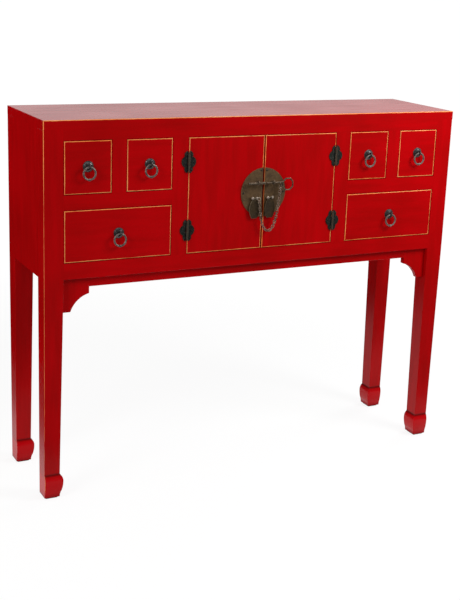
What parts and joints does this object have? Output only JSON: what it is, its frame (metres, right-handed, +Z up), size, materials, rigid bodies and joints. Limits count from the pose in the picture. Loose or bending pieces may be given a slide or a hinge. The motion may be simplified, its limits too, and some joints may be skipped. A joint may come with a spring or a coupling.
{
  "type": "chinese console table",
  "caption": "Low-depth console table in red lacquer with gold rubbed edges, ring-pull drawers, a middle cupboard with round bronze lock plate, bolt and chain, and hoof feet.",
  "frame": {"origin": "on the floor under the middle of the table, its lock included", "axes": "+X to the right seen from the front, -Y out of the front, +Z up"},
  "size_m": [0.95, 0.2567, 0.78],
  "materials": {
    "red_lacquer": "polished red lacquer, rubbed through to gold at the front edges",
    "bare_wood": "planed, unfinished",
    "dark_back": "matt dark lacquer",
    "glide": "plain",
    "dark_bronze": "dark green-black patina",
    "plate_bronze": "mottled olive-brown patina",
    "pull_bronze": "grey-green patina",
    "worn_bronze": "patina rubbed bright by use"
  },
  "bodies": {
    "case": {"top_panel": "red_lacquer", "leg_front_left": "red_lacquer", "leg_front_right": "red_lacquer", "leg_rear_left": "red_lacquer", "leg_rear_right": "red_lacquer", "foot_glides": "glide", "side_panel_left": "red_lacquer", "side_panel_right": "red_lacquer", "back_panel": "dark_back", "bottom_panel": "dark_back", "front_rails": "red_lacquer", "mid_rails": "red_lacquer", "drawer_stiles": "red_lacquer", "door_posts": "red_lacquer", "inner_boards_left": "bare_wood", "inner_boards_right": "bare_wood", "apron": "red_lacquer", "spandrels": "red_lacquer", "case_hinge_leaves": "dark_bronze", "hinge_pins": "dark_bronze", "case_hinge_nails": "dark_bronze"},
    "left_door": {"left_door_panel": "red_lacquer", "left_door_hinge_leaves": "dark_bronze", "left_door_nails": "dark_bronze", "left_door_staples": "worn_bronze", "left_lock_plate": "plate_bronze", "lock_chain_left": "worn_bronze"},
    "right_door": {"right_door_panel": "red_lacquer", "right_door_hinge_leaves": "dark_bronze", "right_door_nails": "dark_bronze", "right_door_staples": "worn_bronze", "right_lock_plate": "plate_bronze", "lock_chain_right": "worn_bronze"},
    "bolt": {"lock_bolt": "worn_bronze"},
    "left_leaf": {"left_leaf_pull": "plate_bronze"},
    "right_leaf": {"right_leaf_pull": "plate_bronze"},
    "upper_drawer_1": {"upper_drawer_1_front": "red_lacquer", "upper_drawer_1_box": "bare_wood", "upper_drawer_1_mount": "pull_bronze"},
    "upper_ring_1": {"upper_drawer_1_ring": "pull_bronze"},
    "upper_drawer_2": {"upper_drawer_2_front": "red_lacquer", "upper_drawer_2_box": "bare_wood", "upper_drawer_2_mount": "pull_bronze"},
    "upper_ring_2": {"upper_drawer_2_ring": "pull_bronze"},
    "upper_drawer_3": {"upper_drawer_3_front": "red_lacquer", "upper_drawer_3_box": "bare_wood", "upper_drawer_3_mount": "pull_bronze"},
    "upper_ring_3": {"upper_drawer_3_ring": "pull_bronze"},
    "upper_drawer_4": {"upper_drawer_4_front": "red_lacquer", "upper_drawer_4_box": "bare_wood", "upper_drawer_4_mount": "pull_bronze"},
    "upper_ring_4": {"upper_drawer_4_ring": "pull_bronze"},
    "lower_drawer_1": {"lower_drawer_1_front": "red_lacquer", "lower_drawer_1_box": "bare_wood", "lower_drawer_1_mount": "pull_bronze"},
    "lower_ring_1": {"lower_drawer_1_ring": "pull_bronze"},
    "lower_drawer_2": {"lower_drawer_2_front": "red_lacquer", "lower_drawer_2_box": "bare_wood", "lower_drawer_2_mount": "pull_bronze"},
    "lower_ring_2": {"lower_drawer_2_ring": "pull_bronze"}
  },
  "joints": [
    {"name": "left_door_hinge", "type": "hinge", "parent": "case", "child": "left_door", "pos_m": [-0.1729, -0.11435, 0.61975], "axis": [0, 0, -1], "range_deg": [0, 95]},
    {"name": "right_door_hinge", "type": "hinge", "parent": "case", "child": "right_door", "pos_m": [0.1729, -0.11435, 0.61975], "axis": [0, 0, 1], "range_deg": [0, 95]},
    {"name": "bolt_slide", "type": "slide", "parent": "right_door", "child": "bolt", "axis": [1, 0, 0], "range_m": [-0.0136, 0.012], "deforming": ["lock_chain_right"]},
    {"name": "left_leaf_swing", "type": "hinge", "parent": "left_door", "child": "left_leaf", "pos_m": [-0.0215, -0.11725, 0.60875], "axis": [-1, 0, 0], "range_deg": [0, 80], "deforming": ["lock_chain_left"]},
    {"name": "right_leaf_swing", "type": "hinge", "parent": "right_door", "child": "right_leaf", "pos_m": [0.0145, -0.11725, 0.60875], "axis": [-1, 0, 0], "range_deg": [0, 80]},
    {"name": "upper_drawer_1_slide", "type": "slide", "parent": "case", "child": "upper_drawer_1", "axis": [0, -1, 0], "range_m": [0, 0.135]},
    {"name": "upper_ring_1_swing", "type": "hinge", "parent": "upper_drawer_1", "child": "upper_ring_1", "pos_m": [-0.38562, -0.12055, 0.68917], "axis": [-1, 0, 0], "range_deg": [0, 95]},
    {"name": "upper_drawer_2_slide", "type": "slide", "parent": "case", "child": "upper_drawer_2", "axis": [0, -1, 0], "range_m": [0, 0.135]},
    {"name": "upper_ring_2_swing", "type": "hinge", "parent": "upper_drawer_2", "child": "upper_ring_2", "pos_m": [-0.25688, -0.12055, 0.68917], "axis": [-1, 0, 0], "range_deg": [0, 95]},
    {"name": "upper_drawer_3_slide", "type": "slide", "parent": "case", "child": "upper_drawer_3", "axis": [0, -1, 0], "range_m": [0, 0.135]},
    {"name": "upper_ring_3_swing", "type": "hinge", "parent": "upper_drawer_3", "child": "upper_ring_3", "pos_m": [0.25688, -0.12055, 0.68917], "axis": [-1, 0, 0], "range_deg": [0, 95]},
    {"name": "upper_drawer_4_slide", "type": "slide", "parent": "case", "child": "upper_drawer_4", "axis": [0, -1, 0], "range_m": [0, 0.135]},
    {"name": "upper_ring_4_swing", "type": "hinge", "parent": "upper_drawer_4", "child": "upper_ring_4", "pos_m": [0.38562, -0.12055, 0.68917], "axis": [-1, 0, 0], "range_deg": [0, 95]},
    {"name": "lower_drawer_1_slide", "type": "slide", "parent": "case", "child": "lower_drawer_1", "axis": [0, -1, 0], "range_m": [0, 0.135]},
    {"name": "lower_ring_1_swing", "type": "hinge", "parent": "lower_drawer_1", "child": "lower_ring_1", "pos_m": [-0.32125, -0.12055, 0.55342], "axis": [-1, 0, 0], "range_deg": [0, 95]},
    {"name": "lower_drawer_2_slide", "type": "slide", "parent": "case", "child": "lower_drawer_2", "axis": [0, -1, 0], "range_m": [0, 0.135]},
    {"name": "lower_ring_2_swing", "type": "hinge", "parent": "lower_drawer_2", "child": "lower_ring_2", "pos_m": [0.32125, -0.12055, 0.55342], "axis": [-1, 0, 0], "range_deg": [0, 95]}
  ]
}
